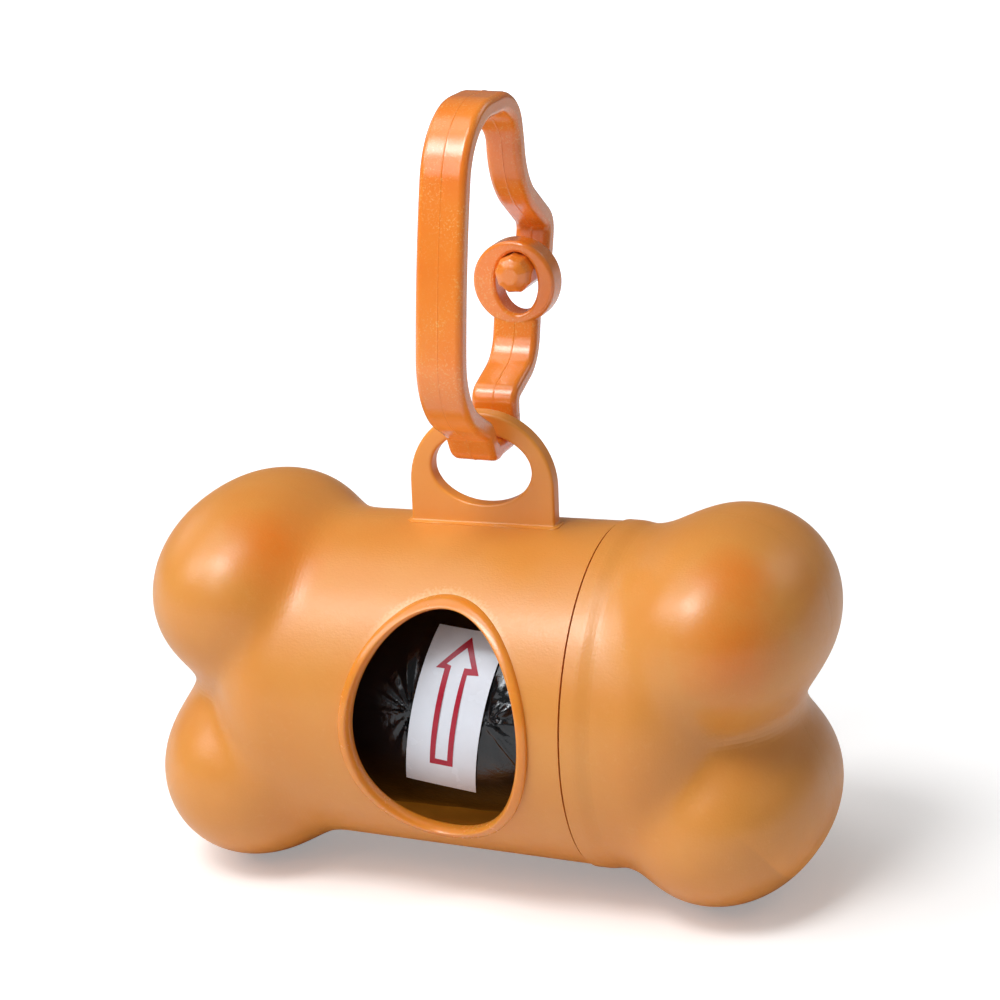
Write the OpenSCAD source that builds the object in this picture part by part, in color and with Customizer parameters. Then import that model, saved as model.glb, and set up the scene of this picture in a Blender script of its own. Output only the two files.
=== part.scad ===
// Bone-shaped dog bag dispenser: hollow bone body with a screw-off end cap,
// a spring clip through a moulded eyelet, and a roll of bags inside.
// Millimetres. Z = 0 is the table, the bone's long axis runs along X,
// and the dispensing opening faces -Y.

/* [View] */
// Which node to draw, or all of them

/* [Bone] */
// Height of the bone's long axis above the table
axis_height = 22.55; // [18:0.05:30]
// Tube radius at the cap seam
tube_radius = 20.15; // [17:0.05:24]
// Tube radius at the closed end
tube_end_radius = 19.4; // [16:0.05:24]
// Half the length of the tube, without the knobs
tube_half_length = 29.4; // [24:0.1:36]
// Rounding of the tube's two ends
tube_rounding = 9.2; // [4:0.1:12]
// Distance of each knob's centre from the middle, along X
knob_x = 28.54; // [24:0.01:34]
// Distance of each knob's centre above or below the axis
knob_z = 10.64; // [8:0.01:14]
// Radius of a knob seen from the front
knob_radius = 12.11; // [9:0.01:15]
// Half the depth of a knob, front to back
knob_half_depth = 18.55; // [14:0.05:22]
// Roundness power of a knob's barrel shape
knob_power = 2.18; // [2:0.01:4]
// Radius of the filler between two knobs
waist_radius = 7.6; // [5:0.1:10]
// Wall thickness of the shells
wall = 1.6; // [1:0.1:3]
// Radius of the bag chamber
chamber_radius = 17.9; // [15:0.05:19]

/* [Cap and thread] */
// Where the cap starts, along X
seam_x = 14.5; // [8:0.1:20]
// Gap between body and cap at the seam
seam_gap = 0.2; // [0.1:0.05:0.6]
// Radius of the cap's raised edge
lip_radius = 20.45; // [18:0.05:24]
// Length of the cap's raised edge
lip_length = 2.6; // [1:0.1:5]
// Radius of the bore in the cap's skirt
skirt_bore = 19.3; // [17:0.05:21]
// Radius of the bore in the threaded sleeve
sleeve_bore = 18.6; // [17:0.05:21]
// Length of the threaded sleeve
sleeve_length = 7.8; // [4:0.1:10]
// Outside radius of the neck, at the thread's root
neck_radius = 17.45; // [15:0.05:19]
// Radius of the bore in the neck
neck_bore = 16.55; // [14:0.05:18]
// Length of the neck glued into the body
neck_seat = 4; // [3:0.1:5]
// How far the neck stands out of the body
neck_length = 7.4; // [5:0.1:10]
// Advance of the cap in one turn
thread_pitch = 4; // [2:0.1:6]
// Height of a thread ridge
thread_height = 0.75; // [0.3:0.05:1.5]
// Width of a thread ridge at its root
thread_width = 1.2; // [0.6:0.05:2]

/* [Dispensing opening] */
// Centre of the opening, along X
opening_x = -0.5; // [-5:0.05:5]
// Centre of the opening above the axis
opening_z = 0.4; // [-5:0.05:5]
// Half the width of the opening
opening_half_width = 10.3; // [6:0.1:13]
// Half the height of the opening
opening_half_height = 13.3; // [6:0.05:15]
// Width of the raised rim
rim_width = 1.3; // [0.5:0.1:3]
// Radius the raised rim reaches from the bone's axis
rim_radius = 20.45; // [18:0.05:22]

/* [Eyelet] */
// Centre of the clip, along X
clip_x = -0.45; // [-5:0.05:5]
// Centre of the eyelet tab, along X
tab_x = -0.7; // [-5:0.05:5]
// Half the width of the tab
tab_half_width = 8.75; // [6:0.05:11]
// Thickness of the tab
tab_thickness = 2.1; // [1.6:0.1:5]
// Centre of the tab's round top above the axis
tab_arch_z = 24.05; // [21:0.05:28]
// Half the width of the eyelet hole
hole_half_width = 6.1; // [4:0.05:8]
// Half the height of the eyelet hole
hole_half_height = 4.25; // [3:0.05:6]
// Centre of the eyelet hole above the axis
hole_z = 26.05; // [23:0.05:29]

/* [Clip] */
// Width of the clip's band
clip_width = 5.6; // [4:0.1:8]
// Thickness of the clip's frame
clip_thickness = 2.4; // [1.6:0.1:4]
// Width of the clip's rear arm
arm_width = 4.3; // [3:0.1:6]
// How far the rear arm stands to the side of the clip's middle
arm_shift = 0.3; // [0:0.1:0.6]
// Thickness of the flexing gate
gate_thickness = 2; // [1.2:0.1:3]
// Width of the bar inside the eyelet
bar_width = 5.2; // [3:0.1:6]
// Thickness of the bar inside the eyelet
bar_thickness = 1.9; // [1.2:0.1:3]
// Height of the bar's centre above the axis
bar_z = 28.3; // [27:0.05:30]
// Radius of the peg that the gate's ring closes on
peg_radius = 2.05; // [1:0.05:3]
// Where the peg's round tip ends, along Y
peg_tip_y = 8.8; // [7:0.1:12]
// Outside radius of the gate's ring
ring_radius = 5; // [3.5:0.05:7]
// Thickness of the gate's ring
ring_thickness = 3.2; // [1.5:0.1:4]
// Centre of the ring along Y
ring_y = 12.4; // [9:0.1:15]
// Centre of the ring above the axis
ring_z = 45; // [40:0.1:50]
// Half the width of the ring's hole
ring_hole_half_width = 2.9; // [2:0.05:4]
// Half the height of the ring's hole
ring_hole_half_height = 3.65; // [2:0.05:4]
// Gap between the gate and the frame at the flexing root
gate_gap = 0.3; // [0.1:0.05:0.6]

/* [Bag roll] */
// Radius of the rolled bags
roll_radius = 14.4; // [11:0.1:16]
// Length of the roll
roll_length = 45.6; // [38:0.1:50]
// Centre of the roll, along Y
roll_y = 1; // [-2:0.1:3]
// Centre of the roll above the axis
roll_z = -1.5; // [-3:0.1:2]
// Outside radius of the cardboard core
core_radius = 5.2; // [4:0.1:9]
// Bore of the cardboard core
core_bore = 4; // [3:0.1:8]
// Width of the paper label along the roll
label_width = 8.3; // [5:0.1:20]
// Centre of the paper label, along X
label_x = -1.3; // [-8:0.1:8]
// Angle the paper label covers round the roll
label_angle = 80; // [40:1:200]
// Thickness of the paper label
label_thickness = 0.16; // [0.1:0.01:0.4]

/* [Hidden] */
round_fn = 96;
orange = [0.93, 0.55, 0.20];
clip_orange = [0.95, 0.50, 0.14];
film_black = [0.05, 0.05, 0.055];
paper_white = [0.92, 0.92, 0.94];
cardboard = [0.62, 0.48, 0.33];
knob_steps = 7;
start_angle = 53;
round_steps = 6;
oval_steps = 48;
far = 60;
ridge_step = 24;
ridge_count = 17;
label_start = 220.5;
post_radius = 3;
post_start = 23.4;
disc_x = 24.1;
disc_thickness = 1.2;
disc_radius = 14;
flat_gap = 0.12;
shaft_gap = 0.05;
slab_half = 2;

// Turtle paths of the clip: each step is [turn radius or 0, angle or length]
gate_root = [6.48, 34.52];
gate_heading = 19;
root_steps = [[0, 1.8], [1.3, 71], [0, 2.07], [-1.8, 90], [0, 4.2]];
leg_steps = [[-1.6, 63], [0, 1.63], [2, 33], [0, 3.56], [-8.33, 65.5], [-136, 8.4],
             [-8.59, 77.4], [0, 3]];
arm_steps = [[-6.79, 85.2], [0, 0.1], [8.85, 50.9], [0, 5.21], [-2, 70.1], [0, 1.77],
             [-2.1, 74.3]];
gate_steps = [[0, 1.75], [5.1, 57], [0, 2.35]];
arm_top_z = 66.8;
arm_taper_z = 62.5;

// Point of a barrel profile at parameter angle a
function barrel_point(r, h, a) =
    [r * pow(cos(a), 2 / knob_power),
     h * sign(a) * pow(abs(sin(a)), 2 / knob_power)];

// Half outline of a barrel, from its bottom pole to its top pole
function barrel(r, h) =
    concat([[0, -h]],
           [for (i = [1 - knob_steps : knob_steps - 1])
                barrel_point(r, h, i * 90 / knob_steps)],
           [[0, h]]);

// Quarter round from radius r at x0 inwards
function corner(r, x_end, c) =
    [for (i = [0 : round_steps])
        let (a = i * 90 / round_steps)
        [r - c + c * cos(a), x_end - c + c * sin(a)]];

// Points of an oval
function oval(a, b) =
    [for (i = [0 : oval_steps - 1])
        let (t = i * 360 / oval_steps) [a * cos(t), b * sin(t)]];

// Position and heading after one turtle step, st = [y, z, heading]
function moved(st, s, part) =
    s[0] == 0
    ? [st[0] + s[1] * part * cos(st[2]), st[1] + s[1] * part * sin(st[2]), st[2]]
    : let (h = st[2] + sign(s[0]) * s[1] * part)
      [st[0] + s[0] * (sin(h) - sin(st[2])), st[1] - s[0] * (cos(h) - cos(st[2])), h];

// How many chords one turtle step is drawn with
function chords(s) = s[0] == 0 ? 1 : max(2, ceil(s[1] / 11));

// State at the end of the first n steps
function walked(st, steps, n) =
    n == 0 ? st : moved(walked(st, steps, n - 1), steps[n - 1], 1);

// All states along the path
function track(st, steps) =
    concat([st],
           [for (i = [0 : len(steps) - 1])
                let (from = walked(st, steps, i), n = chords(steps[i]))
                for (k = [1 : n]) moved(from, steps[i], k / n)]);

// One side of the path, offset by d to its left
function side(states, d) =
    [for (s = states) [s[0] - d * sin(s[2]), s[1] + d * cos(s[2])]];

// Closed outline of a band of thickness t along the path
function band(states, t) =
    let (a = side(states, t / 2), b = side(states, -t / 2), n = len(b))
    concat(a, [for (i = [1 : n]) b[n - i]]);

// Turns a shape's Z axis to X, about the bone's axis
module along_x() {
    translate([0, 0, axis_height])
    rotate([0, 90, 0])
    rotate([0, 0, start_angle])
    children();
}

// Extrudes a (y, z) outline along X, centred on the eyelet
module across_clip(width) {
    translate([clip_x - width / 2, 0, axis_height])
    rotate([90, 0, 90])
    linear_extrude(height = width)
    children();
}

// Extrudes an (x, z) outline from y0 to y1
module through_y(y0, y1) {
    translate([0, y1, axis_height])
    rotate([90, 0, 0])
    linear_extrude(height = y1 - y0)
    children();
}

// One knob, or the hollow in it when inset is the wall
module knob(x_sign, z_sign, inset) {
    translate([x_sign * knob_x, 0, axis_height + z_sign * knob_z])
    rotate([90, 0, 0])
    rotate_extrude($fn = round_fn)
    polygon(barrel(knob_radius - inset, knob_half_depth - inset));
}

// Both knobs of one end and the filler between them
module knobs(x_sign, inset) {
    knob(x_sign, 1, inset);
    knob(x_sign, -1, inset);
    translate([x_sign * knob_x, 0, axis_height])
    rotate([90, 0, 0])
    rotate_extrude($fn = round_fn)
    polygon(barrel(waist_radius - inset, knob_half_depth * 0.8 - inset));
}

// Outside of the body, from the closed end to the seam
module body_outside() {
    mirror([1, 0, 0])
    along_x()
    rotate_extrude($fn = round_fn)
    polygon(concat([[0, -seam_x], [tube_radius, -seam_x]],
                   corner(tube_end_radius, tube_half_length, tube_rounding),
                   [[0, tube_half_length]]));
    knobs(-1, 0);
}

// Hollow of the body, open at the seam
module body_inside() {
    translate([seam_x + 1, 0, 0])
    mirror([1, 0, 0])
    along_x()
    rotate_extrude($fn = round_fn)
    polygon(concat([[0, 0], [chamber_radius, 0]],
                   corner(chamber_radius, seam_x + 1 + tube_half_length - wall,
                          tube_rounding - wall),
                   [[0, seam_x + 1 + tube_half_length - wall]]));
    knobs(-1, wall);
}

// Elliptical prism round the dispensing opening
module opening_prism(extra) {
    through_y(-far, -8)
    translate([opening_x, opening_z])
    polygon(oval(opening_half_width + extra, opening_half_height + extra));
}

// Raised rim of the opening, following the tube
module opening_rim() {
    difference() {
        intersection() {
            opening_prism(rim_width);
            along_x()
            translate([0, 0, -seam_x])
            cylinder(h = 2 * seam_x, r = rim_radius, $fn = round_fn);
        }
        along_x()
        translate([0, 0, -far])
        cylinder(h = 2 * far, r = chamber_radius + 0.4, $fn = round_fn);
    }
}

// Everything on one side of the parting plane and above the table cut
module half(y_sign) {
    translate([-far, y_sign > 0 ? 0 : -far, 0])
    cube([2 * far, far, 2 * far]);
}

// Front half of the body, with the dispensing opening
module body_front_shell() {
    color(orange)
    difference() {
        union() {
            difference() {
                intersection() {
                    body_outside();
                    half(-1);
                }
                body_inside();
                tab_blank(0);
            }
            opening_rim();
        }
        opening_prism(0);
    }
}

// Rear half of the body
module body_rear_shell() {
    color(orange)
    difference() {
        intersection() {
            body_outside();
            half(1);
        }
        body_inside();
        tab_blank(0);
    }
}

// Solid tab, with its foot in the parting line
module tab_blank(extra) {
    through_y(-tab_thickness / 2 - extra, tab_thickness / 2 + extra)
    translate([tab_x, 0])
    union() {
        translate([0, tab_arch_z])
        circle(r = tab_half_width, $fn = round_fn);
        translate([-tab_half_width, chamber_radius + 0.1])
        square([2 * tab_half_width, tab_arch_z - chamber_radius - 0.1]);
    }
}

// Eyelet tab with its oval hole
module eyelet_tab() {
    color(orange)
    difference() {
        tab_blank(0);
        through_y(-far, far)
        translate([tab_x, hole_z])
        polygon(oval(hole_half_width, hole_half_height));
    }
}

// Stepped screw ridge starting at x0, on a wall of radius r.
// out = 1 stands out of the wall, out = -1 stands into a bore.
module screw_ridge(x0, r, out, count) {
    root = thread_width / 2;
    crest = thread_width / 4;
    for (i = [0 : count - 1]) {
        along_x()
        translate([0, 0, x0 + i * thread_pitch * ridge_step / 360])
        rotate([0, 0, i * ridge_step])
        rotate_extrude(angle = ridge_step + 0.6, $fn = round_fn)
        polygon([[r - out * 0.2, -root], [r, -root], [r + out * thread_height, -crest],
                 [r + out * thread_height, crest], [r, root], [r - out * 0.2, root]]);
    }
}

// Threaded neck, glued into the body's mouth
module threaded_neck() {
    color(orange) {
        difference() {
            union() {
                along_x()
                translate([0, 0, seam_x - neck_seat])
                cylinder(h = neck_seat, r = chamber_radius, $fn = round_fn);
                along_x()
                translate([0, 0, seam_x - 0.5])
                cylinder(h = neck_length + 0.5, r = neck_radius, $fn = round_fn);
            }
            along_x()
            translate([0, 0, -far])
            cylinder(h = 2 * far, r = neck_bore, $fn = round_fn);
        }
        screw_ridge(seam_x + 1.6, neck_radius, 1, ridge_count);
    }
}

// Outside of the cap, from the seam to the end
module cap_outside() {
    along_x()
    rotate_extrude($fn = round_fn)
    polygon(concat([[0, seam_x + seam_gap], [lip_radius - 0.3, seam_x + seam_gap],
                    [lip_radius, seam_x + seam_gap + 0.3],
                    [lip_radius, seam_x + lip_length - 0.3],
                    [tube_radius, seam_x + lip_length]],
                   corner(tube_radius, tube_half_length, tube_rounding),
                   [[0, tube_half_length]]));
    knobs(1, 0);
}

// Hollow of the cap, open at the seam
module cap_inside() {
    along_x()
    rotate_extrude($fn = round_fn)
    polygon(concat([[0, 0], [skirt_bore, 0], [skirt_bore, seam_x + neck_length + 1.2]],
                   corner(chamber_radius, tube_half_length - wall, 4.4),
                   [[0, tube_half_length - wall]]));
    difference() {
        knobs(1, wall);
        translate([0, -far, 0])
        cube([seam_x + neck_length + 1.2, 2 * far, 2 * far]);
    }
}

// Half of the cap shell, with half of the post that carries the stop disc
module cap_half(y_sign) {
    difference() {
        intersection() {
            cap_outside();
            half(y_sign);
        }
        cap_inside();
    }
    intersection() {
        cap_fittings();
        half(y_sign);
    }
}

// Post inside the cap, with the two collars that hold the stop disc
module cap_fittings() {
    along_x()
    translate([0, 0, post_start])
    cylinder(h = knob_x + waist_radius - wall / 2 - post_start, r = post_radius, $fn = round_fn);
    along_x()
    translate([0, 0, post_start])
    cylinder(h = disc_x - flat_gap - post_start, r = post_radius + 0.6, $fn = round_fn);
    along_x()
    translate([0, 0, disc_x + disc_thickness + flat_gap])
    cylinder(h = 3, r = post_radius + 2, $fn = round_fn);
}

// Front half of the cap
module cap_front_shell() {
    color(orange)
    cap_half(-1);
}

// Rear half of the cap
module cap_rear_shell() {
    color(orange)
    cap_half(1);
}

// Threaded sleeve fixed in the cap's skirt
module cap_thread_sleeve() {
    color(orange) {
        difference() {
            along_x()
            translate([0, 0, seam_x + seam_gap + 0.4])
            cylinder(h = sleeve_length, r = skirt_bore, $fn = round_fn);
            along_x()
            translate([0, 0, -far])
            cylinder(h = 2 * far, r = sleeve_bore, $fn = round_fn);
        }
        screw_ridge(seam_x + 1.6 + thread_pitch / 2, sleeve_bore, -1, ridge_count - 3);
    }
}

// Plain disc that keeps the roll out of the cap and lets the cap turn past it
module roll_stop_disc() {
    color(paper_white)
    difference() {
        along_x()
        translate([0, 0, disc_x])
        cylinder(h = disc_thickness, r = disc_radius, $fn = round_fn);
        along_x()
        translate([0, 0, -far])
        cylinder(h = 2 * far, r = post_radius + shaft_gap, $fn = round_fn);
    }
}

root_track = track([gate_root[0], gate_root[1], gate_heading + 180], root_steps);
leg_track = track(root_track[len(root_track) - 1], leg_steps);
arm_track = track(leg_track[len(leg_track) - 1], arm_steps);
gate_track = track([gate_root[0], gate_root[1], gate_heading], gate_steps);
arm_end = arm_track[len(arm_track) - 1];

// Front outline of the rear arm, narrowing below the arch
module arm_outline() {
    polygon([[clip_x - clip_width / 2, far + arm_top_z],
             [clip_x - clip_width / 2, arm_top_z],
             [clip_x + arm_shift - arm_width / 2, arm_taper_z],
             [clip_x + arm_shift - arm_width / 2, 0],
             [clip_x + arm_shift + arm_width / 2, 0],
             [clip_x + arm_shift + arm_width / 2, arm_taper_z],
             [clip_x + clip_width / 2, arm_top_z],
             [clip_x + clip_width / 2, far + arm_top_z]]);
}

// Clip frame: bar through the eyelet, front leg, arch, rear arm and peg
module clip_frame() {
    color(clip_orange) {
        difference() {
            across_clip(clip_width)
            union() {
                polygon(band(root_track, gate_thickness));
                polygon(band(leg_track, clip_thickness));
                translate(gate_root)
                circle(d = gate_thickness, $fn = round_fn);
            }
            translate([-far, -slab_half, axis_height + bar_z - 2])
            cube([2 * far, 2 * slab_half, 4]);
        }
        through_y(-slab_half - 0.8, slab_half + 0.4)
        translate([clip_x, bar_z])
        union() {
            square([bar_width - bar_thickness, bar_thickness], center = true);
            for (s = [-1, 1])
                translate([s * (bar_width - bar_thickness) / 2, 0])
                circle(d = bar_thickness, $fn = round_fn);
        }
        intersection() {
            across_clip(clip_width)
            polygon(band(arm_track, clip_thickness));
            through_y(0, far)
            arm_outline();
        }
        translate([clip_x, peg_tip_y + peg_radius, axis_height + arm_end[1]])
        sphere(r = peg_radius, $fn = round_fn);
        through_y(peg_tip_y + peg_radius, arm_end[0] + 1.2)
        translate([clip_x, arm_end[1]])
        circle(r = peg_radius, $fn = round_fn);
    }
}

// Flexing gate: arm and the ring that closes on the peg
module clip_gate() {
    color(clip_orange)
    difference() {
        union() {
            across_clip(clip_width)
            polygon(band(gate_track, gate_thickness));
            through_y(ring_y - ring_thickness / 2, ring_y + ring_thickness / 2)
            translate([clip_x, ring_z])
            circle(r = ring_radius, $fn = round_fn);
        }
        through_y(-far, far)
        translate([clip_x, ring_z])
        polygon(oval(ring_hole_half_width, ring_hole_half_height));
        across_clip(clip_width + 2)
        translate(gate_root)
        circle(d = gate_thickness + 2 * gate_gap, $fn = round_fn);
    }
}

// Tube along X on the roll's axis
module roll_tube(length, r_out, r_in) {
    translate([-length / 2, roll_y, axis_height + roll_z])
    rotate([0, 90, 0])
    difference() {
        cylinder(h = length, r = r_out, $fn = round_fn);
        translate([0, 0, -1])
        cylinder(h = length + 2, r = r_in, $fn = round_fn);
    }
}

// Cardboard core of the roll
module roll_core() {
    color(cardboard)
    roll_tube(roll_length, core_radius, core_bore);
}

// Rolled bags
module bag_roll() {
    color(film_black)
    roll_tube(roll_length, roll_radius - label_thickness, core_radius);
}

// Paper label on the front of the roll
module paper_label() {
    color(paper_white)
    translate([label_x - label_width / 2, roll_y, axis_height + roll_z])
    rotate([0, 90, 0])
    rotate([0, 0, label_start])
    rotate_extrude(angle = label_angle, $fn = round_fn)
    translate([roll_radius - label_thickness, 0])
    square([label_thickness, label_width]);
}

body_front_shell();
body_rear_shell();
eyelet_tab();
threaded_neck();
cap_front_shell();
cap_rear_shell();
cap_thread_sleeve();
roll_stop_disc();
clip_frame();
clip_gate();
roll_core();
bag_roll();
paper_label();
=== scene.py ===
"""Looks of the bone-shaped bag dispenser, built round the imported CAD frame.

Lengths in the tables are millimetres, with X and Y as in the frame and heights measured from the
bone's long axis, which is AXIS above the floor. Meshes are turned into metres when they are made.
"""

import math

import bmesh
import bpy
import numpy as np
from mathutils import Matrix, Vector


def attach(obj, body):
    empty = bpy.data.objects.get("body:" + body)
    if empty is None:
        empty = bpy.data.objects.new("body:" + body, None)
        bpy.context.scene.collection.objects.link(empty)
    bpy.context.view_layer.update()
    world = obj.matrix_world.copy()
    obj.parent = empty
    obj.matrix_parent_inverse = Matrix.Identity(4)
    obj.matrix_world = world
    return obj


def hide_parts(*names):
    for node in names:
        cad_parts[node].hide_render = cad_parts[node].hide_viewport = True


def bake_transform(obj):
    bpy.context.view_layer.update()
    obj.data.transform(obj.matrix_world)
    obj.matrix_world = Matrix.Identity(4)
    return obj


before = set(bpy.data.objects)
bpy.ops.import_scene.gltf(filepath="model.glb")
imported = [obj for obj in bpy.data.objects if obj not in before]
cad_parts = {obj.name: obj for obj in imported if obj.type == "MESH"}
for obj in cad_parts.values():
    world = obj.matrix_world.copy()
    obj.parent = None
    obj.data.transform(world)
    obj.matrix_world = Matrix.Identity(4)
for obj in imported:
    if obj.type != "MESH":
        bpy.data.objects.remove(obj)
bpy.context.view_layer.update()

MM = 0.001
AXIS = 22.55

# ---------------------------------------------------------------- dimensions
# the bone: a tube with two knobs at each end
TUBE_R = 20.15
SEAM_R = 20.24
TUBE_TAPER = 0.024
TUBE_HALF = 30.0
TUBE_ROUND = 8.6
KNOB_X = 28.54
KNOB_Z = 10.64
KNOB_R = 12.11
KNOB_UP = 0.12  # how much larger and higher the upper knobs are
KNOB_H = 18.62
KNOB_P = 2.2
BLEND_TUBE = 2.2
BLEND_KNOBS = 5.6
WALL = 1.6
BONE_LO = (-42, -21.5, -24)
BONE_HI = (42, 21.5, 24)
FAR = 60  # beyond any part of the bone

# the seam between body and cap, the cap's raised lip and the parting line
SEAM_X = 14.5
SEAM_GAP = 0.28
LIP_R = 20.45
LIP_END = 17.1
GROOVE_HALF = 0.2
GROOVE_DEPTH = 0.13
EDGE_ROUND = 0.4
EDGE_CUTS = (0, 0.3, 0.6, 1)  # edge loops across the rounded edge, as parts of EDGE_ROUND
SPLIT_HALF = 0.012

# the opening, a slightly egg-shaped oval that leans a little, and its raised rim
OPEN_X = -0.52
OPEN_Z = 0.42
OPEN_A = 10.1
OPEN_B = 13.12
OPEN_TURN = -0.029
OPEN_EGG = -0.023
OPEN_UNDER_RIM = 0.7  # how far the cut in the wall stands back, hidden by the rim
OPEN_STEPS = 160
RIM_STEPS = 256
# the rim's section as distance out from the opening's edge and height above the tube
RIM_SECTION = (
    (1.32, -0.5), (1.32, -0.02), (1.28, 0.1), (1.18, 0.22), (1.02, 0.31), (0.8, 0.37),
    (0.56, 0.41), (0.46, 0.41), (0.38, 0.38), (0.31, 0.3), (0.2, 0.1), (0.06, -0.22),
    (0.0, -0.42), (0.0, -1.2), (0.06, -1.45), (0.2, -1.6), (0.6, -1.65), (1.2, -1.62),
    (1.3, -1.2),
)

# the eyelet tab
TAB_X = -0.7
TAB_T = 2.1
TAB_R = 8.75
TAB_TOP = 24.05
TAB_EDGE = 0.35
TAB_FILLET = 0.32
TAB_SINK = 0.25  # how far the fillet's foot lies under the tube's surface
TAB_ROOT = 0.9  # how far the tab goes on into the wall
TAB_FLARE = 0.55  # the widest the fillet may stand out from the tab
TAB_FOOT = 17.8  # below the lowest part of the tab
HOLE_Z = 26.05
HOLE_A = 6.1
HOLE_B = 4.25

# the roll of bags
ROLL_Y = 1.0
ROLL_Z = -1.5
ROLL_R = 14.4
ROLL_L = 45.6
CORE_R = 5.2
FILM_UNDER = 0.32  # how far the smooth film lies inside ROLL_R
LABEL_UNDER = 0.1
FILM_EDGE_TURN = 4.9  # where the film's loose end lies, in radians round the roll
FILM_EDGE_LIFT = 0.12
END_RINGS = 34
# the film's greatest height under the label and beside it, and how far it falls off by the neck
FILM_LOW = 0.2
FILM_RISE = 1.1
NECK_SIDE = (8.0, 10.2)
NECK_FALL = 0.75

# the clip: band, gate, peg and ring
CLIP_X = -0.45
CLIP_W = 5.6
CLIP_T = 2.4
GATE_T = 2.0
GATE_W = CLIP_W - 0.1
BAND_ROUND = 0.8
GATE_ROUND = 0.7
ARM_W = 4.3
ARM_SHIFT = 0.3
ARM_TOP_Z = 66.8
ARM_TAPER_Z = 62.5
GATE_ROOT = (6.48, 34.52)
GATE_HEADING = 19
GATE_SPLIT_Z = 31.4  # the gate's band starts below this height in the root
ROOT_TOP_Z = 32  # below this height the band thins towards the gate
RING_Y = 12.4
RING_Z = 45.0
RING_R = 5.0
RING_T = 3.2
RING_HOLE = (2.6, 3.65)
RING_ROUND = 0.5
RING_SHIFT = 0.35
PEG_R = 2.3
PEG_TIP_Y = 8.8
PEG_BEVEL = 0.14
# the peg's end, as distance from its tip and part of PEG_R
PEG_END = ((1.35, 1), (0.55, 0.84), (0.08, 0.46))

# the clip's course as steps of (turn radius or 0 for straight, degrees or length)
ROOT_STEPS = [(0, 1.8), (1.3, 71), (0, 2.07), (-1.8, 90), (0, 4.2)]
LEG_STEPS = [
    (-1.6, 63), (0, 1.63), (2, 33), (0, 3.56), (-8.33, 65.5), (-136, 8.4), (-8.59, 77.4), (0, 3),
]
ARM_STEPS = [(-6.79, 85.2), (0, 0.1), (8.85, 50.9), (0, 5.21), (-2, 70.1), (0, 1.77), (-2.1, 74.3)]
GATE_STEPS = [(0, 1.75), (5.1, 57), (0, 2.35)]

# the label's corners as x and degrees above the front of the roll: low left and right, top the same
LABEL_CORNERS = ((-7.16, -28.2), (1.03, -34.5), (-3.62, 50.3), (5.05, 46.9))
LABEL_LEAN = (0.0451, 0.0494)  # how far its left and right edges lean, in millimetres a degree
LABEL_SPAN = (-36, 52)
LABEL_THICK = 0.06
INK_LIFT = 0.12
# the arrow's outline in the same terms: foot left and right, neck, barb, tip, barb, neck
ARROW_OUT = ((-3.72, -16.9), (-0.97, -18.1), (0.93, 26.9), (2.34, 27.0), (0.71, 44.8),
             (-2.95, 29.3), (-1.86, 29.1))
ARROW_IN = ((-2.96, -14.0), (-1.52, -14.9), (0.5, 30.0), (1.39, 29.9), (0.44, 39.5),
            (-1.71, 31.3), (-1.1, 30.6))

# creases in the film: height, centre x and arc length down the front, seed, rays, reach
CREASES = ((0.34, -5.66, -1.92, 0.4, 11, 5.2), (0.3, 3.71, -1.67, 1.9, 9, 4.6))
# straight folds: height, then x and arc length of both ends, half width
FOLDS = ((0.22, 3.4, -1.3, 9.4, 6.4, 0.4), (0.16, 3.9, -1.2, 12.0, 3.2, 0.35))
FLAP_HEIGHT = 0.95
PLEAT_HEIGHT = 0.26
RIPPLE_HEIGHT = 0.03

GRID = 0.4
TAB_GRID = 0.18
ROLL_TURN, ROLL_ALONG = ((440, 260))
CORNER_STEPS = 4

# ---------------------------------------------------------------- camera, colours and lights
# the camera is solved against the outline of the bone: degrees, millimetres
CAM_AZ, CAM_EL, CAM_ROLL = 21.207, 17.327, -2.176
SENSOR = 36
CAM_F = 3681.1 / 1000 * SENSOR  # 3681.1 pixels in a picture 1000 wide
CAM_AIM = (1.14, 0.0, 22.213)
CAM_DIST = 421.74

ORANGE = (0.745, 0.302, 0.054)
ORANGE_DEEP = (0.73, 0.268, 0.038)
ORANGE_PALE = (0.84, 0.42, 0.14)
# painted light: the deeper orange that light scattered in the thin wall gives beside highlights
ORANGE_LIT_THROUGH = (0.8, 0.205, 0.011)
RIM_ORANGE = (0.84, 0.27, 0.022)
# painted light: the body's plastic made lighter and richer for the tab, whose upright faces get less
# light
TAB_ORANGE_LIT = (0.86, 0.335, 0.046)
TAB_DEEP_LIT = (0.83, 0.295, 0.035)
CLIP_ORANGE = (0.94, 0.275, 0.024)
CLIP_DEEP = (0.9, 0.205, 0.01)
CLIP_PALE = (0.97, 0.5, 0.13)
# painted highlight on the raised, stretched skin above the opening: colour, how far out its oval
# lies, where it starts and ends as parts of that oval, the heights and depths it fades in over
PAINTED_SHEEN = (0.87, 0.5, 0.22)
SHEEN_OUT = (1.7, 1.6)
SHEEN_START = (0.99, 1.01)
SHEEN_END = (1.035, 1.085)
SHEEN_UP = (9, 13)
SHEEN_Y = (-0.006, -0.01)
# light through the thin wall: colour, radii between which the inside is found, fade with depth
THROUGH = (0.095, 0.034, 0.003)
INSIDE_R = (0.0190, 0.0187)
THROUGH_DOWN = (8, 15)
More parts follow.
